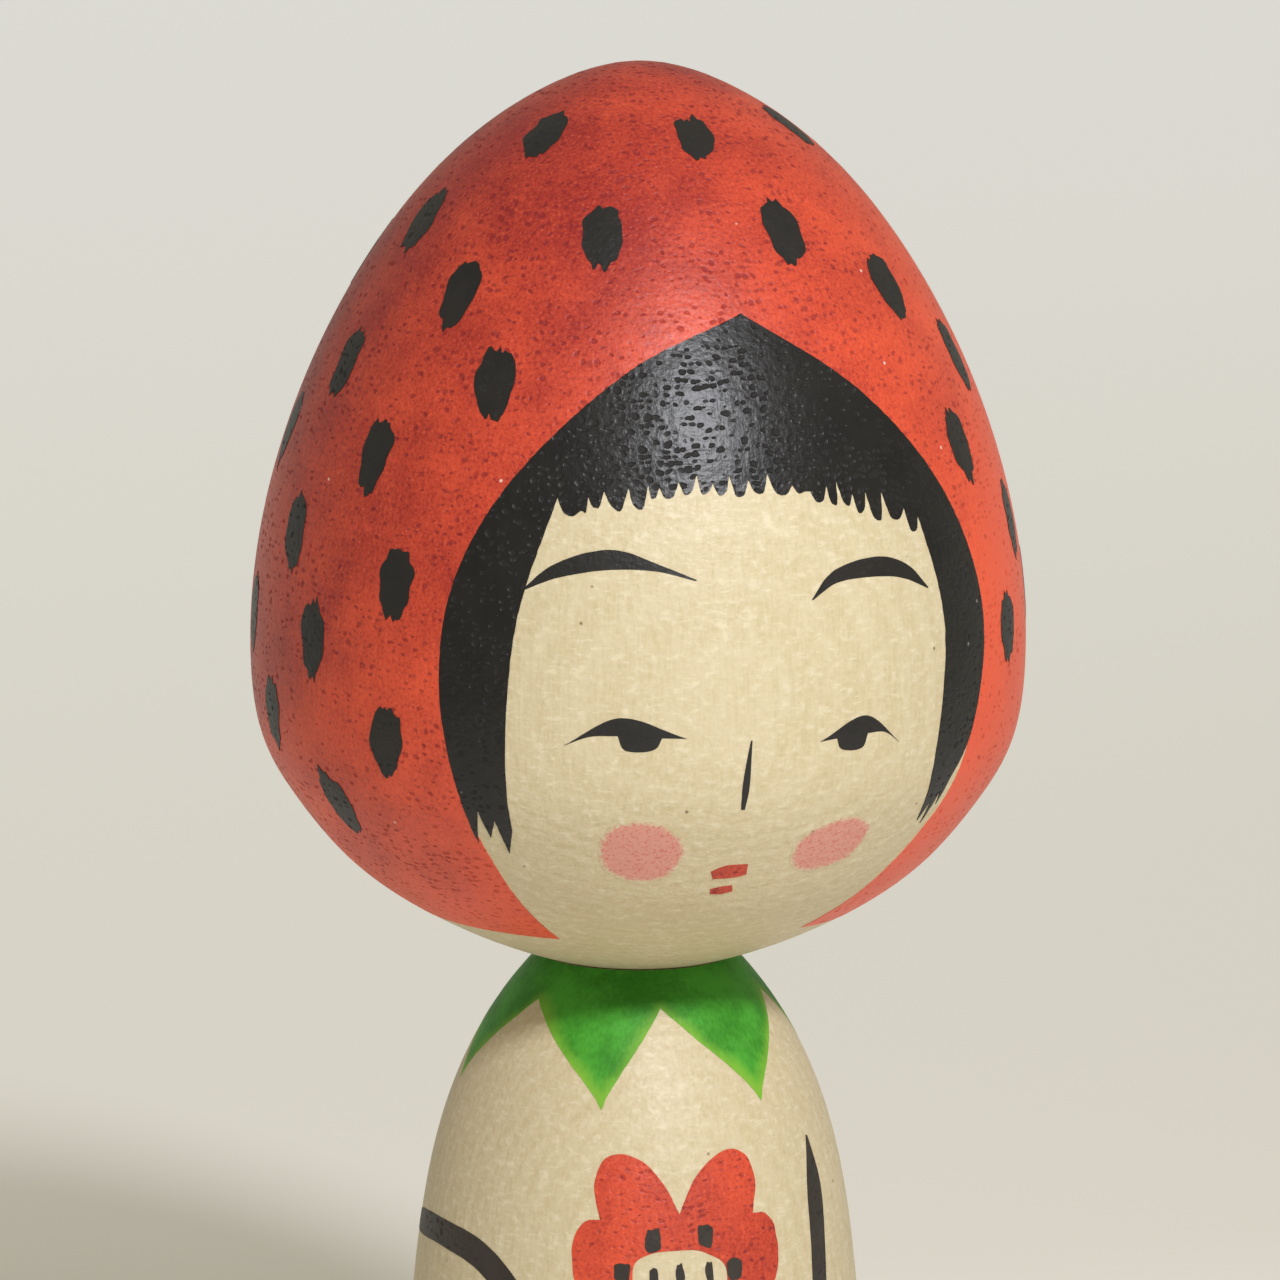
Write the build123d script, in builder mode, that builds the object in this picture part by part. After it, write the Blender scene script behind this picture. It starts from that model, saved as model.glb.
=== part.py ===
from build123d import *
import os
from math import radians, tan

os.makedirs("parts", exist_ok=True)

# Turned wooden kokeshi doll: an egg-shaped head that turns on a small bell-shaped body.
# Millimetres, +Z up, face towards -Y, origin at the middle of the foot.

# Driving dimensions
total_height = 91.0
head_width = 40.0
widest_z = 61.2  # height of the head's widest ring
body_height = 44.7
body_width = 24.0
neck_width = 10.2
dowel_diameter = 6.0
dowel_length = 20.0

# Fits
seat_gap = 0.06  # between the head's flat seat and the body's top face
turning_clearance = 0.05  # radial, between the dowel and the head's bore
end_gap = 0.8  # left free beyond each end of the dowel

# Foot, turned slightly hollow so that only its rim stands on the table
foot_round = 0.7
rim_width = 2.0
dish_depth = 0.5
centre_mark_diameter = 1.8
centre_mark_depth = 1.4
dish_slope = 60  # degrees from upright, so that the dish runs out flat towards the rim

# Dowel and drill
dowel_chamfer = 0.5
flute_count = 16
flute_diameter = 0.5
drill_point_angle = 118.0

# Worked out from those
head_radius = head_width / 2
body_radius = body_width / 2
neck_radius = neck_width / 2
dowel_radius = dowel_diameter / 2
centre_mark_radius = centre_mark_diameter / 2
skirt_z = 0.36 * body_height  # below it the body is a straight cylinder
seat_z = body_height + seat_gap
head_height = total_height - seat_z
dowel_base = body_height - dowel_length / 2
socket_depth = dowel_length / 2 + end_gap
cone_per_radius = 1 / tan(radians(drill_point_angle / 2))
down = (0, 0, -1)

# Head: widest below its middle, fuller underneath than on top
with BuildPart() as head:
    with BuildSketch(Plane.XZ):
        with BuildLine():
            Spline(
                (neck_radius, seat_z),
                (0.6 * head_radius, seat_z + 0.066 * head_height),
                (0.765 * head_radius, seat_z + 0.120 * head_height),
                (0.893 * head_radius, seat_z + 0.188 * head_height),
                (head_radius, widest_z),
                tangents=[(1, 0.3), (0, 1)],
            )
            Spline(
                (head_radius, widest_z),
                (0.914 * head_radius, seat_z + 0.582 * head_height),
                (0.712 * head_radius, seat_z + 0.772 * head_height),
                (0.502 * head_radius, seat_z + 0.889 * head_height),
                (0.26 * head_radius, seat_z + 0.967 * head_height),
                (0, total_height),
                tangents=[(0, 1), (-1, 0)],
                tangent_scalars=[1, 1],
            )
            Polyline((0, total_height), (0, seat_z), (neck_radius, seat_z))
        make_face()
    revolve(axis=Axis.Z)
    head_bore = dowel_radius + turning_clearance
    with Locations(Plane(origin=(0, 0, seat_z), z_dir=down)):
        Hole(head_bore, depth=socket_depth)
    with Locations((0, 0, seat_z + socket_depth)):
        Cone(
            head_bore,
            0,
            head_bore * cone_per_radius,
            align=(Align.CENTER, Align.CENTER, Align.MIN),
            mode=Mode.SUBTRACT,
        )
head.part.label = "head"
export_step(head.part, "parts/head.step")

# Body: a flat neck face, sloping shoulders and a nearly straight skirt
with BuildPart() as body:
    with BuildSketch(Plane.XZ):
        with BuildLine():
            Spline(
                (neck_radius, body_height),
                (0.66 * body_radius, 0.916 * body_height),
                (0.89 * body_radius, 0.751 * body_height),
                (0.975 * body_radius, 0.582 * body_height),
                (body_radius, skirt_z),
                tangents=[(1, -1.05), (0, -1)],
            )
            Polyline(
                (body_radius, skirt_z),
                (body_radius, 0),
                (0, 0),
                (0, body_height),
                (neck_radius, body_height),
            )
        make_face()
    revolve(axis=Axis.Z)
    fillet(body.edges().filter_by(GeomType.CIRCLE).group_by(Axis.Z)[0], radius=foot_round)

    with BuildSketch():
        Circle(body_radius - rim_width)
    extrude(amount=dish_depth, taper=dish_slope, mode=Mode.SUBTRACT)
    with Locations(Plane(origin=(0, 0, dish_depth), z_dir=down)):
        Hole(centre_mark_radius, depth=centre_mark_depth)
    with Locations((0, 0, dish_depth + centre_mark_depth)):
        Cone(
            centre_mark_radius,
            0,
            centre_mark_radius * cone_per_radius,
            align=(Align.CENTER, Align.CENTER, Align.MIN),
            mode=Mode.SUBTRACT,
        )

    with Locations((0, 0, body_height)):
        Hole(dowel_radius, depth=socket_depth)
    with Locations((0, 0, body_height - socket_depth)):
        Cone(
            0,
            dowel_radius,
            dowel_radius * cone_per_radius,
            align=(Align.CENTER, Align.CENTER, Align.MAX),
            mode=Mode.SUBTRACT,
        )
body.part.label = "body"
export_step(body.part, "parts/body.step")

# Neck dowel: glued into the body, a turning fit in the head, with shallow glue flutes
with BuildPart() as neck_dowel:
    with BuildSketch(Plane.XY.offset(dowel_base)):
        Circle(dowel_radius)
    extrude(amount=dowel_length)
    chamfer(neck_dowel.edges().filter_by(GeomType.CIRCLE), length=dowel_chamfer)
    with BuildSketch(Plane.XY.offset(dowel_base)):
        with PolarLocations(dowel_radius, flute_count):
            Circle(flute_diameter / 2)
    extrude(amount=dowel_length, mode=Mode.SUBTRACT)
neck_dowel.part.label = "neck_dowel"
export_step(neck_dowel.part, "parts/neck_dowel.step")
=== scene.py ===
"""Looks of a turned wooden kokeshi doll: brushed paint, dyed hood, lights and camera around the CAD frame.

Sizes here are millimetres and degrees. A place on the doll is (azimuth, height): azimuth 0 is the middle of
the face, which looks along -Y, and it grows towards +X; height is above the foot. In names, left and right
are as seen by someone who faces the doll.
"""

import math

import bmesh
import bpy
import numpy as np
from mathutils import Euler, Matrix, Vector, noise
from mathutils.geometry import delaunay_2d_cdt


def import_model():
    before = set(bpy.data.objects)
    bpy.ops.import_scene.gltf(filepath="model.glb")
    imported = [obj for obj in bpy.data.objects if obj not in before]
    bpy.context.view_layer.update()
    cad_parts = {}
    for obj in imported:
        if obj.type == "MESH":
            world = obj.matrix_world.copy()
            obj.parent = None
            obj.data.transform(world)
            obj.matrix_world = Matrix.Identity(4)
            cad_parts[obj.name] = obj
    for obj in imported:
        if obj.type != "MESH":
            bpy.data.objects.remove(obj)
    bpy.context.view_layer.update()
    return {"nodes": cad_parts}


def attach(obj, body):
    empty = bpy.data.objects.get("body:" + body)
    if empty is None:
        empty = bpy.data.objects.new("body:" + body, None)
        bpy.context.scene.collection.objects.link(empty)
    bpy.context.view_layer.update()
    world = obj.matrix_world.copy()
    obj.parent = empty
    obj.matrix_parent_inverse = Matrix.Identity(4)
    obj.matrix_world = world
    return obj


MM = 0.001

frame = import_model()
noise.seed_set(7)  # without it, noise_vector takes its offsets from the clock

# ---------------------------------------------------------------- driving values

VIEW_AZIMUTH = -16.0  # the camera stands on the doll's right hand side
VIEW_ELEVATION = 10.0
VIEW_DISTANCE = 400.0
VIEW_WIDTH = 66.15  # width seen at the doll's axis
VIEW_ROLL = 0.28
AIM_HEIGHT = 61.04  # the point looked at: its height, and how far it lies to the right of the axis
AIM_ASIDE = 0.10

SINK = 0.03  # how far a paint film's underside lies in the wood
DYE_RISE = 0.018  # heights of paint films over the wood
INK_RISE = 0.032
TOP_RISE = 0.044
SHARP_EDGE = 50  # film edges that turn by more than this are shaded as creases

# ---------------------------------------------------------------- turned surfaces


class Turned:
    """The outside of a turned CAD node: radius and height along its outline, measured from its top."""

    def __init__(self, node, foot=0.0, fine=0.05):
        mesh = frame["nodes"][node].data
        widest = {}
        for face in mesh.polygons:
            middle = Vector((face.center.x, face.center.y, 0))
            outward = face.normal.dot(middle.normalized()) if middle.length else 0
            if outward < 0.05 and face.normal.z < 0.9:
                continue
            for corner in face.vertices:
                place = mesh.vertices[corner].co / MM
                height = round(place.z, 2)
                widest[height] = max(widest.get(height, 0), math.hypot(place.x, place.y))
        points = [(widest[h], h) for h in sorted(widest, reverse=True) if h > foot]
        if points[0][0] < 0.5:
            points.insert(0, (0.0, points[0][1]))
        knots = thinned(bulging(points))
        along = np.concatenate([[0], np.cumsum(np.hypot(*np.diff(knots, axis=0).T))])
        self.length = along[-1]
        self.along = np.arange(0, self.length, fine)
        self.radius = natural_spline(along, knots[:, 0], self.along)
        self.height = natural_spline(along, knots[:, 1], self.along)
        self.slope_r = np.gradient(self.radius, self.along)
        self.slope_z = np.gradient(self.height, self.along)
        # A conformal "latitude": equal steps of azimuth and latitude are equally long on the surface.
        safe = np.maximum(self.radius, 0.4)
        self.latitude = np.concatenate([[0], np.cumsum(-fine / ((safe[1:] + safe[:-1]) / 2))])

    def at_height(self, height):
        return float(np.interp(-height, -self.height, self.along))

    def flat(self, azimuth, height):
        """A place on the surface as a point of the conformal map."""
        s = self.at_height(height)
        return math.radians(azimuth), float(np.interp(s, self.along, self.latitude))

    def scale_at(self, latitude):
        """Millimetres on the surface for one unit of the map."""
        return float(np.interp(-latitude, -self.latitude, self.radius))

    def point(self, flat, rise):
        """The point of the map lifted off the surface, in metres."""
        u, v = flat
        s = float(np.interp(-v, -self.latitude, self.along))
        r = float(np.interp(s, self.along, self.radius))
        z = float(np.interp(s, self.along, self.height))
        dr = float(np.interp(s, self.along, self.slope_r))
        dz = float(np.interp(s, self.along, self.slope_z))
        size = math.hypot(dr, dz)
        out, up = -dz / size, dr / size
        r += out * rise
        z += up * rise
        return Vector((r * math.sin(u), -r * math.cos(u), z)) * MM


def bulging(points):
    """The points of an outline, read downwards, that lie on its convex outside."""
    kept = []
    for r, z in points:
        while len(kept) > 1:
            (r1, z1), (r2, z2) = kept[-2:]
            if (r2 - r1) * (z - z2) - (z2 - z1) * (r - r2) < 0:
                break
            kept.pop()
        kept.append((r, z))
    return kept


def thinned(points, gap=0.4):
    """The points with those nearer than gap to the one before left out."""
    kept = points[:1]
    for point in points:
        if math.dist(kept[-1], point) > gap:
            kept.append(point)
    return np.array(kept)


def natural_spline(x, y, wanted):
    """A natural cubic spline through (x, y), read at the wanted places."""
    n = len(x)
    h = np.diff(x)
    matrix = np.eye(n)
    right = np.zeros(n)
    for i in range(1, n - 1):
        matrix[i, i - 1 : i + 2] = h[i - 1], 2 * (h[i - 1] + h[i]), h[i]
        right[i] = 6 * ((y[i + 1] - y[i]) / h[i] - (y[i] - y[i - 1]) / h[i - 1])
    bend = np.linalg.solve(matrix, right)
    i = np.clip(np.searchsorted(x, wanted) - 1, 0, n - 2)
    a, b, span = wanted - x[i], x[i + 1] - wanted, h[i]
    return (
        (bend[i] * b**3 + bend[i + 1] * a**3) / (6 * span)
        + (y[i] / span - bend[i] * span / 6) * b
        + (y[i + 1] / span - bend[i + 1] * span / 6) * a
    )


HEAD = Turned("head")
BODY = Turned("body", foot=2.0)

# ---------------------------------------------------------------- outlines


def smooth(points, step):
    """A Catmull-Rom curve through points of the map, cut into steps, without its last point."""
    pts = [Vector(p) for p in points]
    if len(pts) == 2:
        pts = [pts[0], pts[0].lerp(pts[1], 0.5), pts[1]]
    ends = [pts[0] * 2 - pts[1], *pts, pts[-1] * 2 - pts[-2]]
    made = []
    for p0, p1, p2, p3 in zip(ends, ends[1:], ends[2:], ends[3:]):
        t1 = max((p1 - p0).length, 1e-6) ** 0.5
        t2 = t1 + max((p2 - p1).length, 1e-6) ** 0.5
        t3 = t2 + max((p3 - p2).length, 1e-6) ** 0.5
        count = max(1, round((p2 - p1).length / step))
        for k in range(count):
            t = t1 + (t2 - t1) * k / count
            a1 = p0.lerp(p1, t / t1)
            a2 = p1.lerp(p2, (t - t1) / (t2 - t1))
            a3 = p2.lerp(p3, (t - t2) / (t3 - t2))
            b1 = a1.lerp(a2, t / t2)
            b2 = a2.lerp(a3, (t - t1) / (t3 - t1))
            made.append(b1.lerp(b2, (t - t1) / (t2 - t1)))
    return made


def outline(surface, strokes, step=0.25, wobble=0.02, grain=0.8, seed=0.0):
    """A closed outline on the map from strokes that meet at corners, each a list of (azimuth, height).

    wobble is how far the brush strays, in millimetres, over a length of about grain."""
    flats = [[surface.flat(*place) for place in stroke] for stroke in strokes]
    loop = []
    for i, stroke in enumerate(flats):
        following = flats[(i + 1) % len(flats)][0]
        if (Vector(stroke[-1]) - Vector(following)).length > 1e-5:
            stroke = [*stroke, following]
        scale = surface.scale_at(stroke[0][1])
        loop += smooth(stroke, step / scale)
    return stray(surface, loop, wobble, grain, seed)


def stray(surface, loop, wobble, grain, seed):
    """The loop with each point moved a little by a smooth noise."""
    moved = []
    for p in loop:
        scale = surface.scale_at(p.y)
        at = Vector((p.x * scale / grain, p.y * scale / grain, seed))
        push = noise.noise_vector(at)
        moved.append(Vector((p.x + push.x * wobble / scale, p.y + push.y * wobble / scale)))
    return moved


def brush_stroke(surface, spine, widths, step=0.25, wobble=0.015, grain=0.6, seed=0.0):
    """The outline of a brush stroke along spine, a list of (azimuth, height), with a width at each place."""
    flats = [Vector(surface.flat(*place)) for place in spine]
    scale = surface.scale_at(flats[0].y)
    line = smooth([(p.x * scale, p.y * scale, w) for p, w in zip(flats, widths)], step)
    line.append(Vector((flats[-1].x * scale, flats[-1].y * scale, widths[-1])))
    left, right = [], []
    for before, here, after in zip([line[0], *line], line, [*line[1:], line[-1]]):
        along = (after - before).to_2d().normalized()
        side = Vector((-along.y, along.x)) * max(here.z, 0.02) / 2
        left.append((here.to_2d() + side) / scale)
        right.append((here.to_2d() - side) / scale)
    return stray(surface, left + right[::-1], wobble, grain, seed)


def ring_edges(loops):
    """Both ends of every edge of the closed loops, as two arrays."""
    rings = [np.array([tuple(p) for p in loop]) for loop in loops]
    return np.concatenate(rings), np.concatenate([np.roll(ring, -1, axis=0) for ring in rings])


def inside(points, loops):
    """Which of the points (an n by 2 array) lie inside an odd number of the closed loops."""
    found = np.zeros(len(points), bool)
    for (x1, y1), (x2, y2) in zip(*ring_edges(loops)):
        if y1 != y2:
            crosses = (y1 > points[:, 1]) != (y2 > points[:, 1])
            found ^= crosses & (points[:, 0] < x1 + (points[:, 1] - y1) * (x2 - x1) / (y2 - y1))
    return found


def open_edges(line):
    """Both ends of every edge of a line that isn't closed."""
    points = np.array([tuple(p) for p in line])
    return points[:-1], points[1:]


def distance_to(points, edges):
    """The distance from each of the points to the nearest of the edges."""
    least = np.full(len(points), 1e9)
    for a, b in zip(*edges):
        span = b - a
        t = np.clip(((points - a) @ span) / max(span @ span, 1e-12), 0, 1)
        least = np.minimum(least, np.hypot(*(points - a - t[:, None] * span).T))
    return least


# ---------------------------------------------------------------- paint films


def film_patch(surface, loop, holes, step):
    """Points and triangles of the map that fill the loop but not its holes."""
    loops = [loop, *holes]
    fixed, edges = [], []
    for ring in loops:
        first = len(fixed)
        fixed += [Vector(p) for p in ring]
        edges += [(first + i, first + (i + 1) % len(ring)) for i in range(len(ring))]
    corners = np.array([tuple(p) for p in loop])
    low, high = corners.min(0), corners.max(0)
    grid = []
    s = float(np.interp(-high[1], -surface.latitude, surface.along))
    last = float(np.interp(-low[1], -surface.latitude, surface.along))
    row = 0
    while s < last:
        v = float(np.interp(s, surface.along, surface.latitude))
        spacing = step / surface.scale_at(v)
        count = int((high[0] - low[0]) / spacing) + 1
        grid += [(low[0] + (i + 0.5 * (row % 2)) * spacing, v) for i in range(count)]
        s += step * 0.87
        row += 1
    extra = []
    if grid:
        grid = np.array(grid)
        grid = grid[inside(grid, loops)]
    if len(grid):
        room = distance_to(grid, ring_edges(loops)) * np.array([surface.scale_at(v) for v in grid[:, 1]])
        extra = [Vector(p) for p in grid[room > 0.45 * step]]
    points, _, faces, *_ = delaunay_2d_cdt(fixed + extra, edges, [], 0, 1e-9)
    at = np.array([tuple(p) for p in points])
    faces = np.array([tuple(f) for f in faces])
    return at, faces[inside(at[faces].mean(1), loops)].tolist()


def shell(name, surface, patches, rise, material):
    """A closed thin shell over each patch of the map, as one object."""
    mesh = bmesh.new()
    edge_layer = mesh.verts.layers.float.new("rim")
    for at, faces, rim_edges in patches:
        used = sorted({i for f in faces for i in f})
        rim = distance_to(at[used], rim_edges)
        top, base = {}, {}
        for i, away in zip(used, rim):
            scale = surface.scale_at(at[i][1])
            top[i] = mesh.verts.new(surface.point(at[i], rise))
            base[i] = mesh.verts.new(surface.point(at[i], -SINK))
            top[i][edge_layer] = base[i][edge_layer] = away * scale
        ways = {}
        for a, b, c in faces:
            mesh.faces.new((top[a], top[b], top[c]))
            mesh.faces.new((base[c], base[b], base[a]))
            for i, j in ((a, b), (b, c), (c, a)):
                ways[(i, j)] = True
        for i, j in ways:
            if (j, i) not in ways:
                mesh.faces.new((top[j], top[i], base[i], base[j]))
    bmesh.ops.remove_doubles(mesh, verts=mesh.verts, dist=2e-7)
    drop_inner_walls(mesh)
    bmesh.ops.recalc_face_normals(mesh, faces=mesh.faces)
    for face in mesh.faces:
        face.smooth = True
    for edge in mesh.edges:
        if len(edge.link_faces) == 2 and edge.calc_face_angle(0) > math.radians(SHARP_EDGE):
            edge.smooth = False
    data = bpy.data.meshes.new(name)
    mesh.to_mesh(data)
    mesh.free()
    piece = bpy.data.objects.new(name, data)
    bpy.context.scene.collection.objects.link(piece)
    data.materials.append(material)
    return piece


def drop_inner_walls(mesh):
    """Deletes the walls left inside where two welded patches meet. Only walls have four corners."""
    walls = [
        face
        for face in mesh.faces
        if len(face.verts) == 4 and sum(len(edge.link_faces) > 2 for edge in face.edges) > 1
    ]
    bmesh.ops.delete(mesh, geom=walls, context="FACES")


def paint(name, surface, loops, rise, material, body, step=0.7, holes=()):
    """Brushes a film inside each loop, as one piece that rides on a body."""
    patches = []
    for loop in loops:
        at, faces = film_patch(surface, loop, holes, step)
        patches.append((at, faces, ring_edges([loop, *holes])))
    piece = shell(name, surface, patches, rise, material)
    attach(piece, body)
    return piece


# ---------------------------------------------------------------- materials


class Graph:
    """A material's nodes, with one short call for each kind."""

    def __init__(self, name):
        self.material = bpy.data.materials.new(name)
        self.material.use_nodes = True
        self.tree = self.material.node_tree
        self.tree.nodes.clear()

    def node(self, kind, inputs=None, **settings):
        made = self.tree.nodes.new(kind)
        for key, value in settings.items():
            setattr(made, key, value)
        for key, value in (inputs or {}).items():
            self.feed(made.inputs[key], value)
        return made

    def feed(self, socket, value):
        if isinstance(value, bpy.types.NodeSocket):
            self.tree.links.new(value, socket)
        else:
            socket.default_value = value

    def math(self, operation, *values, clamp=False):
        made = self.node("ShaderNodeMath", operation=operation, use_clamp=clamp)
        for socket, value in zip(made.inputs, values):
            self.feed(socket, value)
        return made.outputs[0]

    def vector(self, operation, *values):
        made = self.node("ShaderNodeVectorMath", operation=operation)
        for socket, value in zip(made.inputs, values):
            self.feed(socket, value)
        return made.outputs["Value" if operation == "LENGTH" else "Vector"]

    def combine(self, x, y, z):
        return self.node("ShaderNodeCombineXYZ", {"X": x, "Y": y, "Z": z}).outputs[0]

    def ramp(self, value, low, high, to_low=0.0, to_high=1.0):
        """value's smooth step from low to high."""
        made = self.node(
            "ShaderNodeMapRange",
            {"Value": value, "From Min": low, "From Max": high, "To Min": to_low, "To Max": to_high},
            interpolation_type="SMOOTHSTEP",
        )
        return made.outputs[0]

    def mix(self, share, a, b, blend="MIX"):
        made = self.node("ShaderNodeMix", data_type="RGBA", blend_type=blend)
        self.feed(made.inputs[0], share)
        self.feed(made.inputs[6], a)
        self.feed(made.inputs[7], b)
        return made.outputs[2]

    def noise(self, vector, scale=1.0, detail=2.0, roughness=0.5, distortion=0.0):
        made = self.node(
            "ShaderNodeTexNoise",
            {
                "Vector": vector,
                "Scale": scale,
                "Detail": detail,
                "Roughness": roughness,
                "Distortion": distortion,
            },
        )
        return made.outputs[0]

    def cells(self, vector, scale=1.0, randomness=1.0):
        """Distance to the nearest random point, and that point's own random colour."""
        made = self.node(
            "ShaderNodeTexVoronoi", {"Vector": vector, "Scale": scale, "Randomness": randomness}
        )
        return made.outputs["Distance"], made.outputs["Color"]

    def finish(self, colour, roughness, height, depth, **constants):
        """Closes the tree with one Principled shader. depth is the bump's height in millimetres."""
        bump = self.node(
            "ShaderNodeBump", {"Height": height, "Distance": depth * MM, "Strength": 1.0}
        )
        shader = self.node(
            "ShaderNodeBsdfPrincipled",
            {"Base Color": colour, "Roughness": roughness, "Normal": bump.outputs[0], **constants},
        )
        output = self.node("ShaderNodeOutputMaterial", {"Surface": shader.outputs[0]})
        output.is_active_output = True
        return self.material


def rgb(*values):
    return (*values, 1.0)


HEAD_MIDDLE = 62.0  # height of the point that the lathe's rows on the head run round
HEAD_REACH = 20.0  # about how far it lies from the surface
LATHE_ROW = 0.36
PORE_GAP = 0.42
RING_GAP = 0.62
PITH = (3.0, 34.0, 0.0)
BRUSHED_HEIGHT = 72.0  # the hood's dye grows deeper above it

WOOD_LIGHT = rgb(0.52, 0.445, 0.285)
WOOD_WARM = rgb(0.44, 0.355, 0.20)


class Wood:
    """Fields of the turned wood in the doll's own millimetres, shared by bare wood and every paint on it."""

    def __init__(self, g, upper, crowding=0.0):
        self.g = g
        coordinates = g.node("ShaderNodeTexCoord").outputs["Object"]
        self.place = g.vector("MULTIPLY", coordinates, (1000, 1000, 1000))
        split = g.node("ShaderNodeSeparateXYZ", {"Vector": self.place})
        x, y, z = split.outputs
        radius = g.math("SQRT", g.math("ADD", g.math("MULTIPLY", x, x), g.math("MULTIPLY", y, y)))

        # Rows left by the lathe tool: by angle round the head's middle, by height on the body.
        if upper:
            polar = g.math("ARCTAN2", radius, g.math("SUBTRACT", z, HEAD_MIDDLE))
            travel = g.math("MULTIPLY", polar, HEAD_REACH)
        else:
            travel = z
        drift = g.noise(self.place, 0.09, 1.0)
        travel = g.math("ADD", travel, g.math("MULTIPLY", drift, 2.2))
        travel = g.math("ADD", travel, g.math("MULTIPLY", g.noise(self.place, 0.9, 1.0), 0.7))
        rows = g.math("DIVIDE", travel, LATHE_ROW)
        row = g.math("FLOOR", rows)
        off_row = g.math("MULTIPLY", g.math("SUBTRACT", g.math("SUBTRACT", rows, row), 0.5), 1.4)

        # Pores: dots that sit in those rows, denser in some places than in others.
        spot = g.combine(
            g.math("DIVIDE", x, PORE_GAP), g.math("DIVIDE", y, PORE_GAP), g.math("MULTIPLY", row, 7.31)
        )
        away, colour = g.cells(spot)
        away = g.math("SQRT", g.math("ADD", g.math("MULTIPLY", away, away), g.math("POWER", off_row, 2.0)))
        size = g.node("ShaderNodeSeparateColor", {"Color": colour}).outputs[0]
        crowd = g.noise(self.place, 0.16, 2.0)
        reach = g.math("ADD", g.math("MULTIPLY", size, 0.34), g.math("MULTIPLY", crowd, 0.44))
        reach = g.math("ADD", reach, crowding)
        self.pores = g.ramp(g.math("DIVIDE", away, reach), 1.15, 0.6)

        # Growth rings: upright cylinders round the pith, which stood behind the doll.
        from_pith = g.vector("SUBTRACT", g.combine(x, y, 0.0), PITH)
        ring = g.math("DIVIDE", g.vector("LENGTH", from_pith), RING_GAP)
        ring = g.math("ADD", ring, g.math("MULTIPLY", g.noise(self.place, 0.12, 2.0), 1.6))
        within = g.math("SUBTRACT", g.math("FRACT", ring), 0.5)
        self.late = g.ramp(g.math("ABSOLUTE", within), 0.5, 0.1)

        # Upright fibres, and the short bright flecks that cross them.
        self.fibre = g.noise(g.vector("MULTIPLY", self.place, (5.0, 5.0, 0.55)), 1.0, 3.0, 0.6)
        self.fleck = g.noise(g.vector("MULTIPLY", self.place, (1.3, 1.3, 5.0)), 1.0, 2.0, 0.55)
        self.beaten = g.noise(g.vector("MULTIPLY", self.place, (1.9, 1.9, 2.6)), 1.0, 2.0, 0.5)
        self.fine = g.noise(self.place, 6.0, 2.0, 0.6)
        self.cloud = g.noise(self.place, 0.11, 2.0, 0.5)
        self.patch = g.noise(self.place, 0.35, 3.0, 0.55)
        self.turning = g.noise(g.combine(0.0, 0.0, g.math("MULTIPLY", travel, 2.6)), 1.0, 3.0, 0.6)

    def specks(self, size, share):
        """Rare small dots, about size apart, on that share of places."""
        away, colour = self.g.cells(self.place, 1.0 / size)
        pick = self.g.node("ShaderNodeSeparateColor", {"Color": colour}).outputs[1]
        chosen = self.g.math("LESS_THAN", pick, share)
        return self.g.math("MULTIPLY", chosen, self.g.ramp(away, 0.13, 0.05))

    def bare(self):
        """The colour of the bare wood."""
        g = self.g
        tone = g.math("MULTIPLY_ADD", self.fibre, 0.75, g.math("MULTIPLY", self.late, 0.12))
        tone = g.math("ADD", tone, g.math("MULTIPLY", self.fine, 0.45))
        tone = g.math("ADD", tone, g.math("MULTIPLY", self.cloud, 0.25))
        tone = g.math("ADD", tone, g.math("MULTIPLY", self.beaten, -0.5))
        colour = g.mix(g.ramp(tone, 0.3, 1.0), WOOD_LIGHT, WOOD_WARM)
        bright = g.ramp(g.math("MAXIMUM", self.fleck, self.beaten), 0.56, 0.74)
        colour = g.mix(g.math("MULTIPLY", bright, 0.4), colour, rgb(0.64, 0.57, 0.41))
        colour = g.mix(g.math("MULTIPLY", self.specks(1.0, 0.07), 0.8), colour, rgb(0.15, 0.08, 0.04))
        return colour

    def relief(self, pores=0.5):
        """The wood's surface, from 0 to 1."""
        g = self.g
        height = g.math("MULTIPLY_ADD", self.fibre, 0.35, g.math("MULTIPLY", self.beaten, 0.9))
        height = g.math("ADD", height, g.math("MULTIPLY", self.turning, 0.3))
        return g.math("SUBTRACT", height, g.math("MULTIPLY", self.pores, pores))


def wood_material(name, upper):
    g = Graph(name)
    wood = Wood(g, upper)
    roughness = g.math("MULTIPLY_ADD", wood.fine, 0.16, 0.42)
    return g.finish(wood.bare(), roughness, wood.relief(0.1), 0.05, **{"Specular IOR Level": 0.35})


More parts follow.
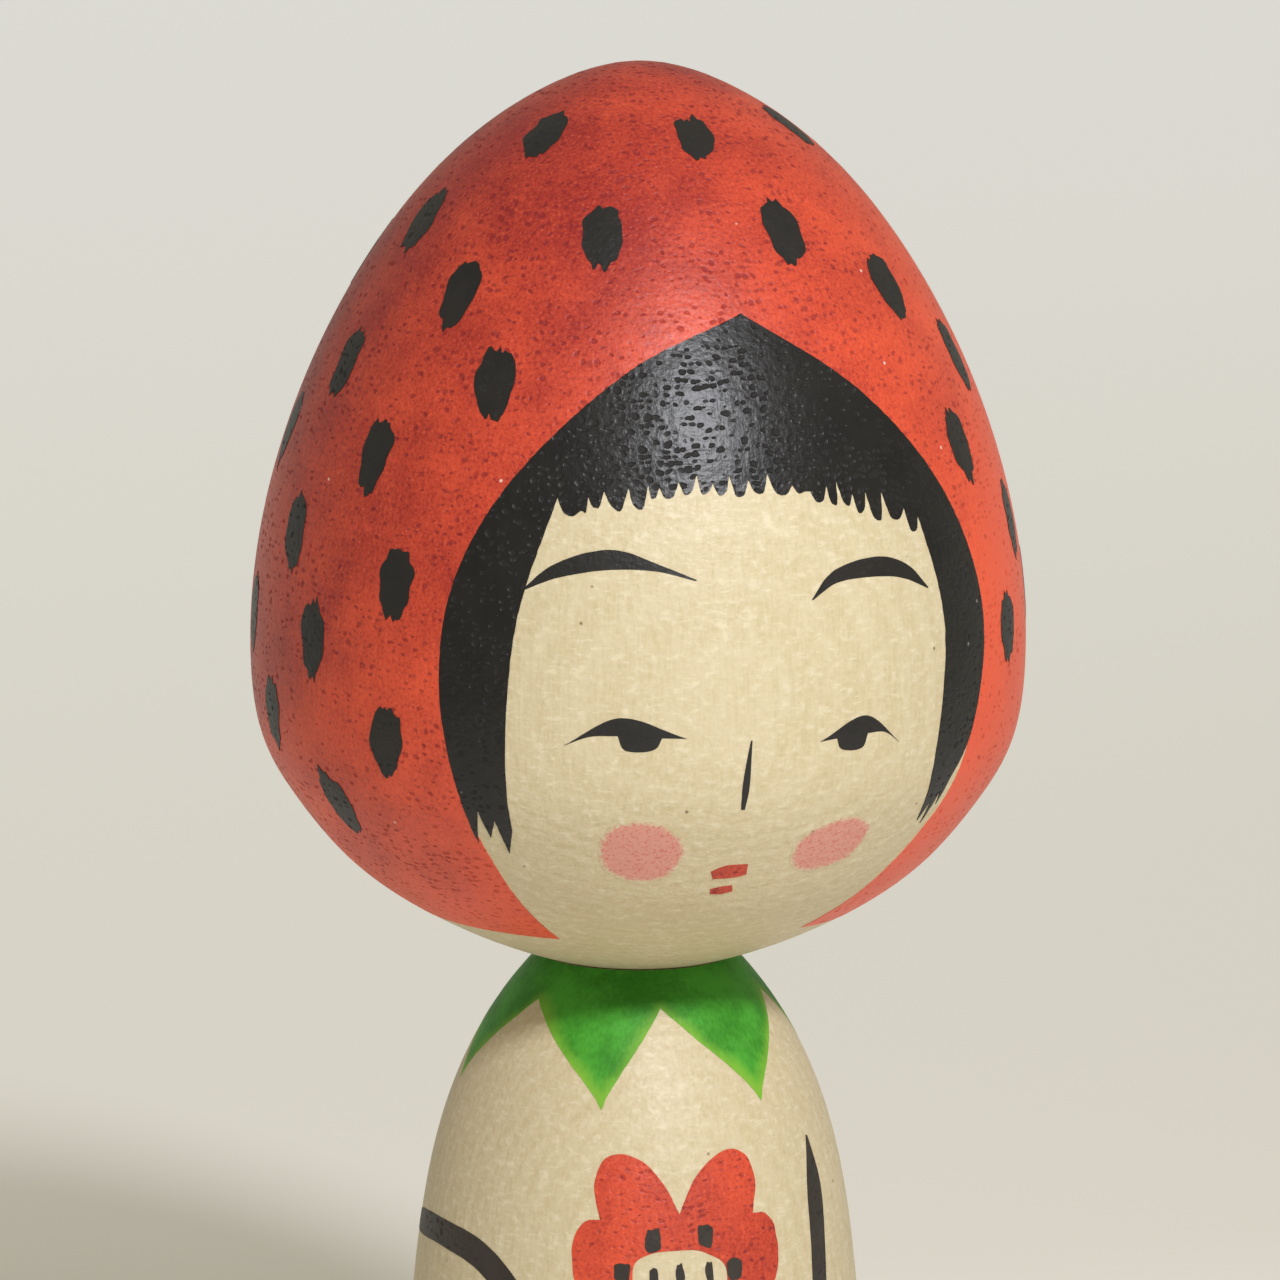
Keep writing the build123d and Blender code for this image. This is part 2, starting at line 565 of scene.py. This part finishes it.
def red_material(name, upper, extra=0.0, crown_and_shade_share=1.0):
    """Translucent red dye, deeper towards the crown and in the pores; painted shade darkens it towards -X,
    the side turned from the lamp.
    """
    g = Graph(name)
    wood = Wood(g, upper)
    x, _, z = g.node("ShaderNodeSeparateXYZ", {"Vector": wood.place}).outputs
    above = g.math("SUBTRACT", z, BRUSHED_HEIGHT)
    # Deeper dye above BRUSHED_HEIGHT, plus painted shade: the colour darkens towards -X, the side away from
    # the lamp.
    crown_dye_and_painted_shade = g.math("MULTIPLY_ADD", above, 0.021, g.math("MULTIPLY", x, -0.018))
    crown_dye_and_painted_shade = g.math("MULTIPLY", crown_dye_and_painted_shade, crown_and_shade_share)
    depth = g.math("ADD", g.math("MULTIPLY", g.ramp(wood.cloud, 0.34, 0.70), 0.36), extra)
    depth = g.math("ADD", depth, g.math("MULTIPLY", wood.patch, 0.7))
    depth = g.math("ADD", depth, g.math("MULTIPLY", wood.pores, 0.40))
    depth = g.math("ADD", depth, g.math("MULTIPLY", g.ramp(wood.fine, 0.5, 0.35), 0.25))
    depth = g.math("ADD", depth, g.math("MULTIPLY", wood.turning, 0.35))
    depth = g.math("ADD", depth, g.math("MULTIPLY", wood.fibre, 0.45))
    depth = g.math("ADD", depth, crown_dye_and_painted_shade)
    colour = g.mix(g.ramp(depth, 0.35, 1.85), rgb(0.66, 0.078, 0.028), rgb(0.21, 0.010, 0.009))
    colour = g.mix(
        g.math("MULTIPLY", g.ramp(wood.fine, 0.56, 0.76), 0.35), colour, rgb(0.68, 0.13, 0.06)
    )
    colour = g.mix(g.math("MULTIPLY", wood.specks(0.9, 0.03), 0.7), colour, rgb(0.75, 0.58, 0.5))
    roughness = g.math("MULTIPLY_ADD", wood.pores, 0.25, 0.44)
    return g.finish(colour, roughness, wood.relief(0.7), 0.04, **{"Specular IOR Level": 0.35})


def ink_material(name, upper, dark, light, pores, gloss, crowding=0.0):
    """Black brush ink that has sunk into the pores. gloss is the roughness between them."""
    g = Graph(name)
    wood = Wood(g, upper, crowding)
    colour = g.mix(g.ramp(wood.patch, 0.3, 0.7), dark, light)
    colour = g.mix(g.math("MULTIPLY", wood.specks(0.9, 0.05), 0.6), colour, rgb(0.25, 0.235, 0.21))
    roughness = g.math("MULTIPLY_ADD", wood.pores, 0.35, gloss)
    return g.finish(colour, roughness, wood.relief(pores), 0.045, **{"Specular IOR Level": 0.33})


def green_material(name, upper):
    g = Graph(name)
    wood = Wood(g, upper)
    rim = g.node("ShaderNodeAttribute", attribute_name="rim").outputs["Fac"]
    shade = g.math("ADD", wood.patch, g.math("MULTIPLY", wood.fibre, 0.5))
    colour = g.mix(g.ramp(shade, 0.55, 0.95), rgb(0.058, 0.30, 0.026), rgb(0.030, 0.18, 0.012))
    pale = g.ramp(g.math("ADD", rim, g.math("MULTIPLY", wood.patch, 1.4)), 1.5, 0.4)
    colour = g.mix(g.math("MULTIPLY", pale, 0.75), colour, rgb(0.21, 0.40, 0.035))
    roughness = g.math("MULTIPLY_ADD", wood.fine, 0.15, 0.45)
    return g.finish(colour, roughness, wood.relief(0.3), 0.03, **{"Specular IOR Level": 0.2})


def blush_material(name, upper):
    """A thin dab of pink that leaves the wood showing and gathers in the pores."""
    g = Graph(name)
    wood = Wood(g, upper)
    rim = g.node("ShaderNodeAttribute", attribute_name="rim").outputs["Fac"]
    cover = g.ramp(g.math("ADD", rim, g.math("MULTIPLY", wood.fine, 0.5)), 0.25, 0.6, 0.0, 0.78)
    colour = g.mix(cover, wood.bare(), rgb(0.55, 0.19, 0.16))
    deep = g.math("MULTIPLY", g.ramp(wood.fine, 0.5, 0.68), g.math("MULTIPLY", cover, 0.7))
    colour = g.mix(deep, colour, rgb(0.44, 0.06, 0.055))
    roughness = g.math("MULTIPLY_ADD", wood.fine, 0.16, 0.45)
    return g.finish(colour, roughness, wood.relief(0.1), 0.03, **{"Specular IOR Level": 0.35})


HEAD_WOOD = wood_material("head_wood", True)
BODY_WOOD = wood_material("body_wood", False)
DOWEL_WOOD = wood_material("dowel_wood", False)
HEAD_RED = red_material("head_red", True)
BODY_RED = red_material("body_red", False, extra=0.02, crown_and_shade_share=0.0)
LIP_RED = red_material("lip_red", True, extra=0.25, crown_and_shade_share=0.0)
HAIR_INK = ink_material(
    "hair_ink",
    True,
    rgb(0.005, 0.0045, 0.004),
    rgb(0.009, 0.008, 0.0065),
    pores=0.9,
    gloss=0.38,
    crowding=0.07,
)
HEAD_INK = ink_material(
    "head_ink",
    True,
    rgb(0.009, 0.008, 0.007),
    rgb(0.014, 0.012, 0.010),
    pores=0.25,
    gloss=0.45,
)
BODY_INK = ink_material(
    "body_ink",
    False,
    rgb(0.022, 0.017, 0.013),
    rgb(0.032, 0.025, 0.019),
    pores=0.1,
    gloss=0.5,
)
GREEN = green_material("leaf_green", False)
BLUSH = blush_material("cheek_pink", True)

for node, material in (("head", HEAD_WOOD), ("body", BODY_WOOD), ("neck_dowel", DOWEL_WOOD)):
    data = frame["nodes"][node].data
    data.materials.clear()
    data.materials.append(material)

# ---------------------------------------------------------------- the hood

# The opening round the face, from its peak down each side to the hem, as places that one curve joins.
OPENING_RIGHT = [(4, 79.5), (25, 75.5), (39, 70), (44.5, 64), (41.5, 58), (38, 53), (29, 47.7)]
OPENING_LEFT = [(4, 79.5), (-17, 77), (-36, 71.5), (-43.5, 66.5), (-45, 61.5), (-42, 54.5), (-35.5, 47.6)]
HEM_HEIGHT = 47.6
CROWN = 2.2  # the crown inside this distance from the top is a cap of plain rings
CROWN_SIDES = 24


def opening():
    """The opening's edge from the right end of the hem over the peak to the left end."""
    edge = smooth([HEAD.flat(*place) for place in OPENING_RIGHT[::-1]], 0.02)
    edge += smooth([HEAD.flat(*place) for place in OPENING_LEFT], 0.02)
    edge.append(Vector(HEAD.flat(*OPENING_LEFT[-1])))
    return stray(HEAD, edge, 0.03, 1.0, 3.0)


def hood_sheet(edge, step):
    """The sheet between the crown's cap, the opening and the hem, cut open down the back."""
    crown_height = float(np.interp(CROWN, HEAD.along, HEAD.height))
    ring = [(-180 + 360 * i / CROWN_SIDES, crown_height) for i in range(CROWN_SIDES + 1)]
    down = np.arange(CROWN + step, HEAD.at_height(HEM_HEIGHT), step)
    seam = np.interp(down, HEAD.along, HEAD.height)
    right = [(180, height) for height in seam]
    right += [(azimuth, HEM_HEIGHT) for azimuth in range(180, 32, -4)]
    left = [(azimuth, HEM_HEIGHT) for azimuth in range(-40, -184, -4)]
    left += [(-180, height) for height in seam[::-1]]
    loop = [Vector(HEAD.flat(*place)) for place in ring + right]
    loop += edge
    loop += [Vector(HEAD.flat(*place)) for place in left]
    return film_patch(HEAD, loop, (), step)


def crown_cap():
    """Plain rings over the crown, where the map runs out to infinity."""
    rings = [CROWN, CROWN * 0.68, CROWN * 0.36, 0.0]
    latitudes = np.interp(rings, HEAD.along, HEAD.latitude)
    turns = np.linspace(-math.pi, math.pi, CROWN_SIDES + 1)
    points = [(turn, latitude) for latitude in latitudes for turn in turns]
    faces = []
    for k in range(len(rings) - 1):
        for i in range(CROWN_SIDES):
            a = k * (CROWN_SIDES + 1) + i
            b = a + 1
            c, d = a + CROWN_SIDES + 1, b + CROWN_SIDES + 1
            faces += [(a, b, d), (a, d, c)]
    return np.array(points), faces


def hood():
    edge = opening()
    rim = open_edges(edge)
    patches = [(*hood_sheet(edge, 0.7), rim), (*crown_cap(), rim)]
    piece = shell("hood_dye", HEAD, patches, DYE_RISE, HEAD_RED)
    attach(piece, "head")


hood()

# ---------------------------------------------------------------- seeds on the hood

FRONT_ROWS = [
    # height, and the azimuths of its seeds, round the front and the doll's right side
    (88, (-55, 5, 65)),
    (83.5, (-80, -25, 20)),
    (80.5, (-55, 45)),
    (76.5, (-80, -42, 62)),
    (72.5, (-97, -63, 48)),
    (68, (-80, 64)),
    (66.5, (-54,)),
    (63, (-96, -71, 54)),
    (58.5, (-85, -55)),
    (54.5, (-70,)),
]
BACK_ROWS = [
    # height, how many seeds, and the azimuth of the first
    (86.4, 5, 118),
    (81.6, 7, 84),
    (76.2, 8, 100),
    (70.4, 8, 84),
    (64.4, 9, 76),
    (58.4, 9, 84),
    (52.8, 8, 78),
]
BACK_END = 262  # where the rows at the back run into the seeds above
SEED_ROOM = 4.6  # least distance between two seeds' middles


def front_seeds():
    """The azimuth and height of every seed in the front rows."""
    return [(azimuth, height) for height, azimuths in FRONT_ROWS for azimuth in azimuths]


def back_seeds():
    """Seeds where the front rows leave the hood bare, in staggered rows."""
    made = []
    for row, (height, count, first) in enumerate(BACK_ROWS):
        for i in range(count):
            azimuth = first + (BACK_END - first) * (i + 0.5 * (row % 2)) / count
            push = noise.noise_vector(Vector((azimuth * 0.37, height * 1.7, 4.0)))
            made.append((azimuth + 3 * push.x, height + 0.8 * push.y))
    return [seed for seed in made if stands_clear(*seed)]


def stands_clear(azimuth, height):
    """Whether a seed there has room beside those at the front."""
    radius = float(np.interp(-height, -HEAD.height, HEAD.radius))
    for other, other_height in front_seeds():
        turn = math.radians(abs((azimuth - other + 180) % 360 - 180))
        if math.hypot(turn * radius, height - other_height) < SEED_ROOM:
            return False
    return True


def seed_loop(azimuth, height, number):
    """A blunt leaf-shaped dab with a ragged edge, drawn down the hood."""
    vary = noise.noise_vector(Vector((number * 1.37, azimuth * 0.1, height)))
    length = 3.75 + 0.35 * vary.x - (0.6 if height > 87 else 0)
    width = 2.0 + 0.15 * vary.y
    centre = Vector(HEAD.flat(azimuth, height))
    scale = HEAD.scale_at(centre.y)
    turn = math.radians(14 * vary.z)
    loop = []
    count = 44
    for i in range(count):
        t = 2 * math.pi * i / count
        x = width / 2 * math.sin(t) * (1 + 0.16 * math.cos(t))
        y = length / 2 * math.copysign(abs(math.cos(t)) ** 0.85, math.cos(t))
        rough = noise.noise(Vector((math.cos(t) * 2.2, math.sin(t) * 2.2, number * 3.7)))
        ends = abs(math.cos(t)) ** 3
        ragged = noise.noise(Vector((x * 4.5, number * 5.1, y)))
        x *= 1 + 0.26 * rough
        y *= 1 + 0.10 * rough + 0.34 * ends * ragged
        x, y = x * math.cos(turn) - y * math.sin(turn), x * math.sin(turn) + y * math.cos(turn)
        loop.append(Vector((centre.x + x / scale, centre.y + y / scale)))
    return loop


def seeds():
    places = [*front_seeds(), *back_seeds()]
    loops = [seed_loop(*place, number) for number, place in enumerate(places)]
    paint("hood_seeds", HEAD, loops, TOP_RISE, HEAD_INK, "head", step=0.5)


seeds()

# ---------------------------------------------------------------- the hair

HAIR_LAP = 0.4  # how far the hair's outer edge laps over the hood's opening
TEMPLE_RIGHT = (31.5, 69.7)  # the fringe hangs between the temples
TEMPLE_LEFT = (-28.5, 71.3)
STRANDS = 21
EAR_RIGHT = [(38.5, 56), (34.2, 54.6)]  # outer and inner corner of the hair's lower end
EAR_LEFT = [(-43, 56), (-35.5, 54.5)]


def lapped(places):
    """Places of the opening moved out on to the hood."""
    return [(1.01 * azimuth, height + HAIR_LAP) for azimuth, height in places]


def fringe():
    """Strands from right to left, each with a blunt tip, that meet in sharp notches."""
    widths = [1 + 1.1 * noise.noise(Vector((1.7 * i, 0.3, 9.0))) for i in range(STRANDS)]
    across = TEMPLE_LEFT[0] - TEMPLE_RIGHT[0]
    sides = TEMPLE_RIGHT[0] + across * np.cumsum([0, *widths]) / sum(widths)
    strokes = []
    for i, (near, far) in enumerate(zip(sides, sides[1:])):
        vary = noise.noise_vector(Vector((2.3 * i, 5.1, 2.0)))
        hang = 71.5 - 0.0021 * (near + 2) ** 2
        notch = (near, hang + max(0.3, 0.75 + 1.1 * vary.x)) if i else TEMPLE_RIGHT
        tip = hang - 0.05 + 0.5 * vary.y
        slant = 0.2 * vary.z
        third = 0.33 * (far - near)
        strokes.append([notch, (near + third, tip + slant), (far - third, tip - slant)])
    return strokes


def wisps(start, end, count, drop):
    """Pointed strands between two corners of the hair, each down to its tip and up to a notch."""
    strokes = []
    for i in range(count):
        notch = Vector(start).lerp(Vector(end), i / count)
        tip = Vector(start).lerp(Vector(end), (i + 0.6) / count)
        vary = noise.noise(Vector((3.1 * i, start[0], 1.0)))
        strokes.append([tuple(notch)])
        strokes.append([(tip.x, tip.y - drop * (1 + 0.8 * vary))])
    return strokes


def hair():
    strokes = [
        lapped(OPENING_RIGHT[:5]),
        *wisps(*EAR_RIGHT, 3, 1.3),
        [EAR_RIGHT[1], (33.2, 57.5), (34.5, 64.5)],
        *fringe(),
        [TEMPLE_LEFT, (-33.5, 65.5), (-35, 60)],
        *wisps(*EAR_LEFT[::-1], 3, 1.7),
        [EAR_LEFT[0], *lapped(OPENING_LEFT[4::-1])],
    ]
    loop = outline(HEAD, strokes, step=0.18, wobble=0.035, grain=0.7, seed=8.0)
    paint("hair_ink", HEAD, [loop], INK_RISE, HAIR_INK, "head", step=0.6)


hair()

# ---------------------------------------------------------------- the face


def face_stroke(spine, widths, seed):
    """One stroke of the fine brush on the face."""
    return brush_stroke(HEAD, spine, widths, step=0.12, seed=seed)


def brows():
    left = [(-33, 66.8), (-28, 67.8), (-20, 68.4), (-13, 68), (-7.5, 67.4)]
    right = [(10, 66.2), (14, 67.2), (22, 67.5), (27, 67.1), (31.5, 66.1)]
    return [
        face_stroke(left, [0.06, 0.7, 1.0, 0.35, 0.06], 11.0),
        face_stroke(right, [0.06, 0.6, 1.0, 0.75, 0.06], 12.0),
    ]


def eye(outer, top, inner, pupil, seed):
    """A lid arched between two corners, with a square pupil under it. pupil is its two sides and its foot."""
    near, far, foot = pupil
    turn_in = 0.15 * (far - near)
    lid_under = ((outer[0] + near) / 2, top[1] - 0.95)
    strokes = [
        [outer, top, inner],
        [inner],
        [(far, foot + 0.6), (far - turn_in, foot + 0.05), (near + turn_in, foot)],
        [(near, foot + 0.7), lid_under],
    ]
    return outline(HEAD, strokes, step=0.1, wobble=0.015, seed=seed)


def eyes():
    return [
        eye((-26.5, 59.2), (-18.5, 60.65), (-9, 59.6), (-18.8, -12.5, 59.05), 13.0),
        eye((25, 58.6), (18.5, 60.2), (11, 59.1), (19, 13.7, 58.6), 14.0),
    ]


def nose():
    spine = [(0.4, 59.4), (0.1, 58.3), (-0.1, 57), (-0.2, 55.8)]
    return face_stroke(spine, [0.08, 0.25, 0.38, 0.2], 15.0)


def lips():
    upper = [(-3.2, 52.05), (-1, 52.2), (1, 52.25), (2.8, 52.3)]
    lower = [(-2.8, 51.05), (-0.8, 51.1), (1.2, 51.2)]
    return [
        face_stroke(upper, [0.6, 0.95, 0.95, 0.75], 16.0),
        face_stroke(lower, [0.4, 0.6, 0.5], 17.0),
    ]


def blot(surface, place, wide, tall, number, lean=0.0, corners=0.7, rough=0.28):
    """A dab with an uneven edge, an ellipse where corners is 1 and squarer where it is less."""
    centre = Vector(surface.flat(*place))
    scale = surface.scale_at(centre.y)
    turn = math.radians(lean)
    count = max(28, round(16 * max(wide, tall)))
    loop = []
    for i in range(count):
        t = 2 * math.pi * i / count
        x = wide / 2 * math.copysign(abs(math.sin(t)) ** corners, math.sin(t))
        y = tall / 2 * math.copysign(abs(math.cos(t)) ** corners, math.cos(t))
        uneven = 1 + rough * noise.noise(Vector((math.cos(t) * 1.6, math.sin(t) * 1.6, number * 2.3)))
        x, y = x * uneven, y * uneven
        x, y = x * math.cos(turn) - y * math.sin(turn), x * math.sin(turn) + y * math.cos(turn)
        loop.append(Vector((centre.x + x / scale, centre.y + y / scale)))
    return loop


def face():
    features = [*brows(), *eyes(), nose()]
    paint("face_ink", HEAD, features, DYE_RISE, HEAD_INK, "head", step=0.4)
    paint("mouth_dye", HEAD, lips(), DYE_RISE, LIP_RED, "head", step=0.4)
    cheeks = [
        blot(HEAD, (-15.5, 53.4), 4.4, 4.4, 21, corners=1.0, rough=0.08),
        blot(HEAD, (17, 53.3), 4.6, 3.7, 22, lean=24.0, corners=1.0, rough=0.08),
    ]
    paint("cheek_blush", HEAD, cheeks, DYE_RISE * 0.6, BLUSH, "head", step=0.3)


face()

# ---------------------------------------------------------------- collar, blossom and arms

# The azimuths of each leaf's first notch and of its tip.
LEAVES = [(-182, -151), (-125, -96), (-66, -27), (-5, 28), (62, 90), (120, 151)]
TIP_HEIGHT = 38.25
NOTCH_HEIGHT = 43.0
NECK_HEIGHT = 44.69


def leaf_side(tip, notch):
    """Places between a leaf's tip and the notch beside it."""
    places = []
    for share in (0.05, 0.15, 0.35, 0.7):
        height = TIP_HEIGHT + (NOTCH_HEIGHT - TIP_HEIGHT) * share**0.75
        places.append((tip + share * (notch - tip), height))
    return places


def collar_edge():
    """The leaves' edge, once round the body."""
    following = [notch for notch, _ in LEAVES[1:]] + [LEAVES[0][0] + 360]
    edge = []
    for (notch, tip), after in zip(LEAVES, following):
        leaf = [(notch, NOTCH_HEIGHT), *leaf_side(tip, notch)[::-1]]
        leaf += [(tip, TIP_HEIGHT), *leaf_side(tip, after), (after, NOTCH_HEIGHT)]
        edge += smooth([BODY.flat(*place) for place in leaf], 0.03)
    return stray(BODY, edge, 0.03, 0.9, 31.0)


def collar():
    start = LEAVES[0][0]
    end = start + 360
    edge = collar_edge()
    edge[0] = Vector(BODY.flat(start, NOTCH_HEIGHT))
    edge.append(Vector(BODY.flat(end, NOTCH_HEIGHT)))
    between = (43.4, 43.8, 44.2)
    seam = [(end, height) for height in between]
    ring = [(end - 360 * i / 72, NECK_HEIGHT) for i in range(73)]
    closing = [(start, height) for height in between[::-1]]
    loop = edge + [Vector(BODY.flat(*place)) for place in [*seam, *ring, *closing]]
    at, faces = film_patch(BODY, loop, (), 0.5)
    piece = shell("collar_green", BODY, [(at, faces, open_edges(edge))], DYE_RISE, GREEN)
    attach(piece, "body")


collar()

BLOSSOM_AZIMUTH = -3.9
BLOSSOM_HEIGHT = 29.6


def at_blossom(x, z):
    """A place on the body, x and z millimetres from the blossom's middle."""
    height = BLOSSOM_HEIGHT + z
    radius = float(np.interp(-height, -BODY.height, BODY.radius))
    return BLOSSOM_AZIMUTH + math.degrees(x / radius), height


def petal(start, end, reach, lean):
    """Half an ellipse from one notch towards the next. lean pushes its top along, as a share of its width."""
    start, end = Vector(start), Vector(end)
    across = end - start
    outward = Vector((-across.y, across.x)).normalized()
    places = []
    for degrees in (0, 30, 60, 90, 120, 150):
        t = math.radians(degrees)
        share = (1 - math.cos(t)) / 2 + lean * math.sin(t)
        places.append(start + across * share + outward * reach * math.sin(t))
    return places


def blossom_strokes():
    """Three petals on each side, from the top notch round to the bottom one and back up."""
    notches = [(0, 3.6), (4.1, 3.3), (4.2, -1.7), (0, -3.4)]
    shapes = [(3.2, 0.18), (1.5, -0.1), (3.3, 0.0)]  # how far each petal reaches, and its lean
    right = [petal(a, b, *shape) for a, b, shape in zip(notches, notches[1:], shapes)]
    left = []
    for stroke, end in zip(right[::-1], notches[::-1]):
        left.append([Vector((-p.x, p.y)) for p in [Vector(end), *stroke[:0:-1]]])
    return [[at_blossom(*place) for place in stroke] for stroke in right + left]


def blossom():
    loop = outline(BODY, blossom_strokes(), step=0.2, wobble=0.06, grain=0.9, seed=41.0)
    heart = blot(BODY, at_blossom(0, -0.1), 5.3, 3.8, 42, corners=0.75, rough=0.12)
    paint("blossom_dye", BODY, [loop], DYE_RISE, BODY_RED, "body", step=0.6, holes=[heart])
    paint("blossom_ink", BODY, [*touches(), *stamens()], INK_RISE, BODY_INK, "body", step=0.3)


def touches():
    """Square touches of the brush round the heart, in pairs."""
    made = []
    for x, z in ((1.45, 2.35), (3.0, 0.7), (2.95, -2.5), (1.45, -3.35)):
        for side in (-1, 1):
            number = 50 + len(made)
            push = noise.noise_vector(Vector((number * 1.3, 0.7, 2.0)))
            place = at_blossom(side * x + 0.3 * push.x, z + 0.2 * push.y)
            made.append(blot(BODY, place, 0.85, 1.15, number))
    return made


def stamens():
    """Two rows of three short strokes in the heart, the lower ones spread like a fan."""
    made = []
    for z, fan in ((0.5, 4), (-0.75, 30)):
        for side in (-1, 0, 1):
            number = 60 + len(made)
            push = noise.noise_vector(Vector((number * 1.3, 0.7, 2.0)))
            place = at_blossom(1.35 * side + 0.3 * push.x, z + 0.3 * push.y)
            made.append(blot(BODY, place, 0.42, 1.1, number, lean=side * fan + 10 * push.z))
    return made


def arms():
    right = [(45, 36), (43.5, 33.5), (41.5, 30.5), (39, 26), (36.5, 22)]
    left = [(-117, 29.8), (-100, 30.5), (-78, 30.8), (-60, 30.2), (-46, 27.8), (-40, 24), (-38.5, 21.5)]
    strokes = [
        brush_stroke(BODY, right, [0.15, 1.25, 1.2, 0.95, 0.15], seed=71.0),
        brush_stroke(BODY, left, [0.2, 1.25, 1.4, 1.48, 1.3, 0.7, 0.12], seed=72.0),
    ]
    paint("arm_ink", BODY, strokes, DYE_RISE, BODY_INK, "body", step=0.4)


blossom()
arms()

# ---------------------------------------------------------------- floor, lights, camera


def floor_material():
    """Pale paper. It glows a little behind the doll, where the room would light it and the lamp doesn't.

    Its distances are metres."""
    g = Graph("paper_floor")
    place = g.node("ShaderNodeTexCoord").outputs["Object"]
    depth = g.node("ShaderNodeSeparateXYZ", {"Vector": place}).outputs[1]
    colour = g.mix(g.ramp(depth, 0.1, 1.1), rgb(0.96, 0.93, 0.86), rgb(0.91, 0.90, 0.895))
    mottle = g.noise(place, 900.0, 3.0, 0.6)
    behind = g.math("MAXIMUM", g.math("SUBTRACT", depth, 0.10), 0.0)
    glow = g.math("SUBTRACT", 1.0, g.math("EXPONENT", g.math("MULTIPLY", behind, -4.0)))
    return g.finish(
        colour,
        0.85,
        mottle,
        0.01,
        **{
            "Specular IOR Level": 0.2,
            "Emission Color": rgb(0.94, 0.97, 1.0),
            "Emission Strength": g.math("MULTIPLY", glow, 0.32),
        },
    )


def floor():
    size = 4.0  # metres, as are the places of its corners
    corners = [(-size, -size, 0), (size, -size, 0), (size, size, 0), (-size, size, 0)]
    data = bpy.data.meshes.new("paper_floor")
    data.from_pydata(corners, [], [(0, 1, 2, 3)])
    data.materials.append(floor_material())
    sheet = bpy.data.objects.new("paper_floor", data)
    bpy.context.scene.collection.objects.link(sheet)


def direction(azimuth, elevation):
    """The unit vector from the doll towards there."""
    a, e = math.radians(azimuth), math.radians(elevation)
    return Vector((math.sin(a) * math.cos(e), -math.cos(a) * math.cos(e), math.sin(e)))


def lamp(name, azimuth, elevation, away, size, watts, colour):
    """A soft disc of light aimed at the doll. azimuth is measured from the camera's."""
    data = bpy.data.lights.new(name, "AREA")
    data.shape = "DISK"
    data.size = size * MM
    data.energy = watts
    data.color = colour
    light = bpy.data.objects.new(name, data)
    towards = direction(VIEW_AZIMUTH + azimuth, elevation)
    light.location = (Vector((0, 0, 50)) + towards * away) * MM
    light.rotation_euler = towards.to_track_quat("Z", "Y").to_euler()
    bpy.context.scene.collection.objects.link(light)


def camera():
    data = bpy.data.cameras.new("camera")
    data.sensor_width = 36.0
    data.lens = data.sensor_width * VIEW_DISTANCE / VIEW_WIDTH
    data.clip_start, data.clip_end = 0.01, 20.0
    view = bpy.data.objects.new("camera", data)
    back = direction(VIEW_AZIMUTH, VIEW_ELEVATION)
    turn = (back.to_track_quat("Z", "Y")).to_matrix().to_4x4()
    aside = turn.to_3x3() @ Vector((1, 0, 0)) * AIM_ASIDE
    view.matrix_world = turn @ Euler((0, 0, math.radians(VIEW_ROLL))).to_matrix().to_4x4()
    view.location = (Vector((0, 0, AIM_HEIGHT)) + aside + back * VIEW_DISTANCE) * MM
    bpy.context.scene.collection.objects.link(view)
    bpy.context.scene.camera = view


def world():
    made = bpy.data.worlds.new("studio")
    made.use_nodes = True
    background = made.node_tree.nodes["Background"]
    background.inputs["Color"].default_value = rgb(1.0, 0.96, 0.82)
    background.inputs["Strength"].default_value = 0.45
    bpy.context.scene.world = made


floor()
lamp("key", 21, 38, 300, 36, 0.91, (0.93, 0.94, 1.0))
camera()
world()
bpy.context.scene.view_settings.view_transform = "Standard"
